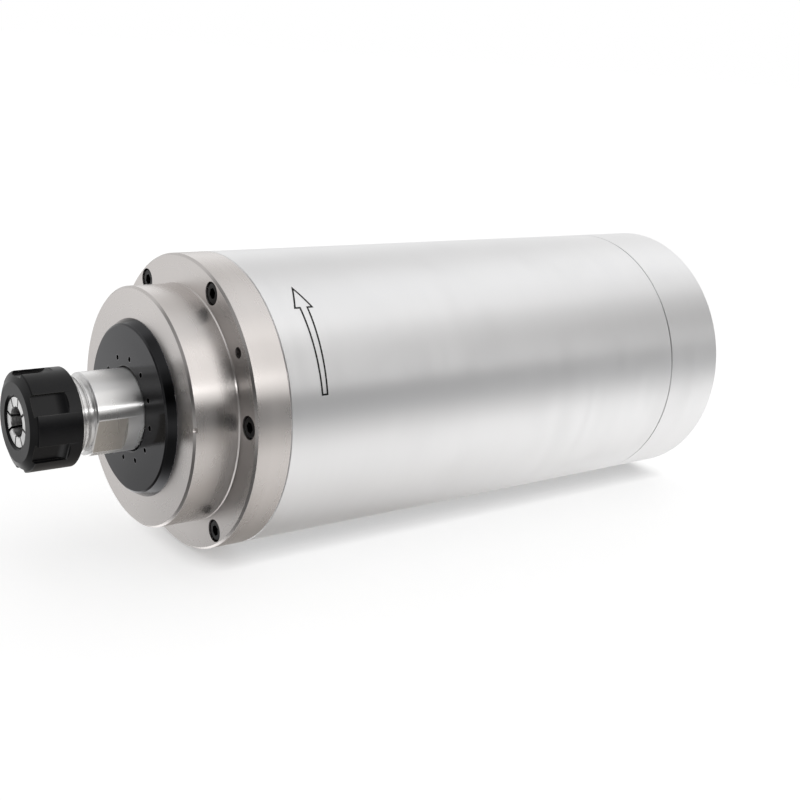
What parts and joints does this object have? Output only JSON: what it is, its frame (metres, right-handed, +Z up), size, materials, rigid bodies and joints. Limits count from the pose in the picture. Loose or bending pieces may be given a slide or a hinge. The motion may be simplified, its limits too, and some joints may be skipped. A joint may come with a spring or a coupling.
{
  "type": "motor spindle",
  "caption": "Water-cooled high-speed motor spindle in a round housing with a front flange, a spanner-flat shaft nose, a spring collet and its slotted nut.",
  "frame": {"origin": "on the spindle axis, at the mouth of the collet's bore", "axes": "+X along the spindle axis from the nose to the rear cap, +Z up"},
  "size_m": [0.368, 0.125, 0.125],
  "materials": {
    "black_oxide": "blackened steel, satin",
    "black_anodised": "black anodised, satin",
    "ground_steel": "hardened and ground, bright",
    "bearing_steel": "ground",
    "nickel_steel": "turned and nickel plated, satin",
    "body_metal": "fine turned and polished",
    "cast_aluminium": "machined",
    "laminations": "stacked electrical steel",
    "copper": "varnished winding wire",
    "brass": "machined",
    "phenolic": "fabric-filled resin",
    "rubber": "moulded",
    "lead_insulation": "silicone sleeve",
    "plated_fitting": "nickel plated",
    "insulator": "moulded thermoset"
  },
  "bodies": {
    "housing": {"front_cover": "black_anodised", "front_housing": "nickel_steel", "front_screws": "black_oxide", "body_tube": "body_metal", "rear_cap": "body_metal", "rear_cap_screws": "black_oxide", "front_outer_ring_a": "bearing_steel", "front_outer_ring_b": "bearing_steel", "front_outer_spacer": "bearing_steel", "stator_core": "laminations", "stator_windings": "copper", "water_jacket": "cast_aluminium", "o_rings": "rubber", "rear_bearing_housing": "cast_aluminium", "rear_outer_ring_a": "bearing_steel", "rear_outer_ring_b": "bearing_steel", "preload_spring": "bearing_steel", "rear_bearing_cover": "cast_aluminium", "bearing_cover_screws": "bearing_steel", "stator_leads": "lead_insulation", "water_inlet": "plated_fitting", "water_outlet": "plated_fitting", "connector_shell": "plated_fitting", "connector_nut": "plated_fitting", "connector_insert": "insulator", "connector_pins": "brass"},
    "rotor": {"spindle_shaft": "ground_steel", "front_inner_ring_a": "bearing_steel", "front_inner_ring_b": "bearing_steel", "front_inner_spacer": "bearing_steel", "front_locknut": "bearing_steel", "rotor_core": "laminations", "squirrel_cage": "cast_aluminium", "balance_rings": "brass", "rear_inner_ring_a": "bearing_steel", "rear_inner_ring_b": "bearing_steel", "rear_locknut": "bearing_steel"},
    "front_ball_set_a": {"front_balls_a": "bearing_steel", "front_cage_a": "phenolic"},
    "front_ball_set_b": {"front_balls_b": "bearing_steel", "front_cage_b": "phenolic"},
    "rear_ball_set_a": {"rear_balls_a": "bearing_steel", "rear_cage_a": "phenolic"},
    "rear_ball_set_b": {"rear_balls_b": "bearing_steel", "rear_cage_b": "phenolic"},
    "collet_set": {"collet": "ground_steel", "eccentric_ring": "bearing_steel"},
    "nut": {"collet_nut": "black_oxide"}
  },
  "joints": [
    {"name": "spindle_spin", "type": "hinge", "parent": "housing", "child": "rotor", "pos_m": [0.2, 0, 0], "axis": [-1, 0, 0], "continuous": true},
    {"name": "front_cage_a_spin", "type": "hinge", "parent": "housing", "child": "front_ball_set_a", "pos_m": [0.0658, 0, 0], "axis": [-1, 0, 0], "continuous": true},
    {"name": "front_cage_b_spin", "type": "hinge", "parent": "housing", "child": "front_ball_set_b", "pos_m": [0.0898, 0, 0], "axis": [-1, 0, 0], "continuous": true},
    {"name": "rear_cage_a_spin", "type": "hinge", "parent": "housing", "child": "rear_ball_set_a", "pos_m": [0.2728, 0, 0], "axis": [-1, 0, 0], "continuous": true},
    {"name": "rear_cage_b_spin", "type": "hinge", "parent": "housing", "child": "rear_ball_set_b", "pos_m": [0.2858, 0, 0], "axis": [-1, 0, 0], "continuous": true},
    {"name": "collet_travel", "type": "slide", "parent": "rotor", "child": "collet_set", "axis": [-1, 0, 0], "range_m": [0, 0.0135]},
    {"name": "nut_turn", "type": "hinge", "parent": "collet_set", "child": "nut", "pos_m": [0.01, 0, 0], "axis": [-1, 0, 0], "range_deg": [0, 3240]}
  ],
  "couplings": [
    {"joint": "front_cage_a_spin", "follows": "spindle_spin", "ratio": 0.412},
    {"joint": "front_cage_b_spin", "follows": "spindle_spin", "ratio": 0.412},
    {"joint": "rear_cage_a_spin", "follows": "spindle_spin", "ratio": 0.409},
    {"joint": "rear_cage_b_spin", "follows": "spindle_spin", "ratio": 0.409},
    {"joint": "nut_turn", "follows": "collet_travel", "rad_per_m": 4188.8}
  ]
}
